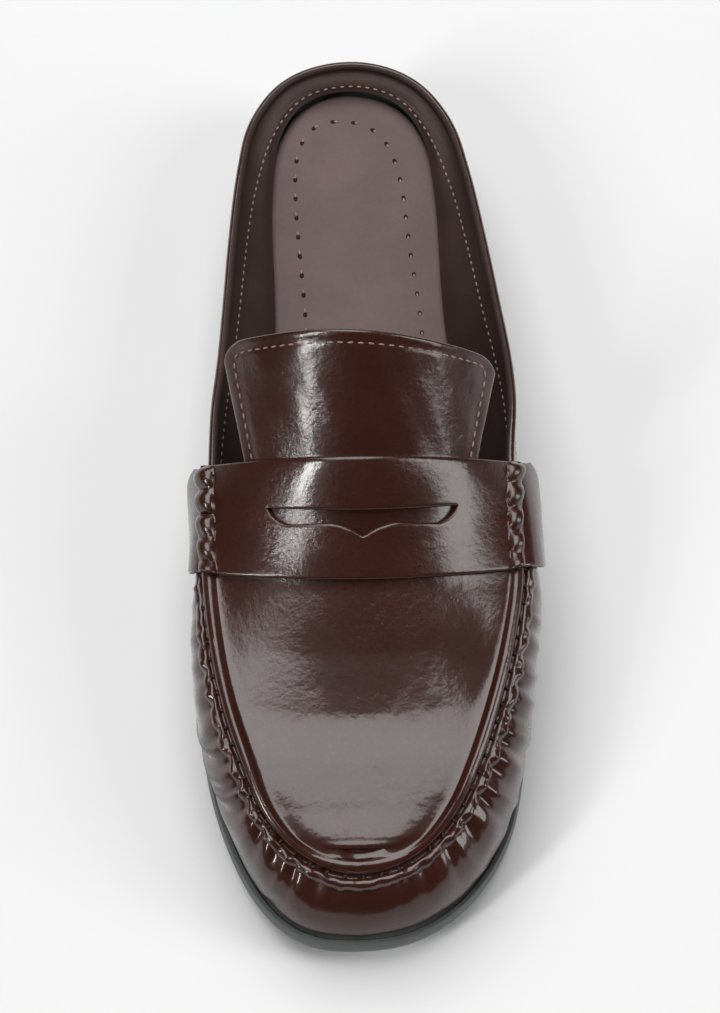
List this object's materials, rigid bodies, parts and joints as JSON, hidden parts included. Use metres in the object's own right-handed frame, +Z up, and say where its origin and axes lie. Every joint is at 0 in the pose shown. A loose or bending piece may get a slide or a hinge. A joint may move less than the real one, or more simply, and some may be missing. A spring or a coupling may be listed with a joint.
{
  "type": "loafer mule",
  "caption": "Left leather loafer mule with open low heel collar, raised apron seam, saddle strap with slot, fan tongue and low stacked heel.",
  "frame": {"origin": "centre of the shoe's bounding box, on the floor", "axes": "+Y from toe to heel, +X towards the lateral side of the left shoe, +Z up"},
  "size_m": [0.0998, 0.2684, 0.0909],
  "materials": {
    "sole": "satin black edge with a faint sheen",
    "heel_lifts": "satin grey-black stacked lifts",
    "insole": "matte taupe sock lining",
    "leather": "glossy dark brown leather with a fine milled crinkle"
  },
  "bodies": {
    "root": {"outsole": "sole", "heel_top_piece": "sole", "heel_lift": "heel_lifts", "heel_wedge": "heel_lifts", "insole": "insole", "upper": "leather", "tongue": "leather", "strap": "leather"}
  },
  "joints": []
}
